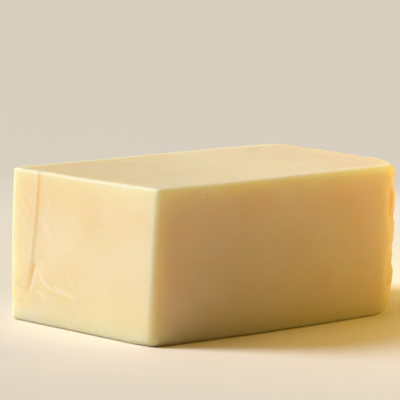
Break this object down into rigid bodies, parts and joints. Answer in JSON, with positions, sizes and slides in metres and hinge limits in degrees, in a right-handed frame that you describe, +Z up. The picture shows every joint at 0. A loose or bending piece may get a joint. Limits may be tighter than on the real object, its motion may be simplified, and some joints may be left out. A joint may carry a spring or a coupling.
{
  "type": "cheddar block",
  "caption": "Block of firm golden cheese with cut sides, one broad rounded corner and one craggy broken end, resting on its flat underside.",
  "frame": {"origin": "on the floor under the middle of the block's bounding box", "axes": "+Z up, +X along the block towards its broken end, -Y towards the long front side"},
  "size_m": [0.2246, 0.125, 0.0899],
  "materials": {
    "cheese": "dull, slightly waxy and translucent, paler and drier along the edges"
  },
  "bodies": {
    "root": {"cheddar_block": "cheese"}
  },
  "joints": []
}
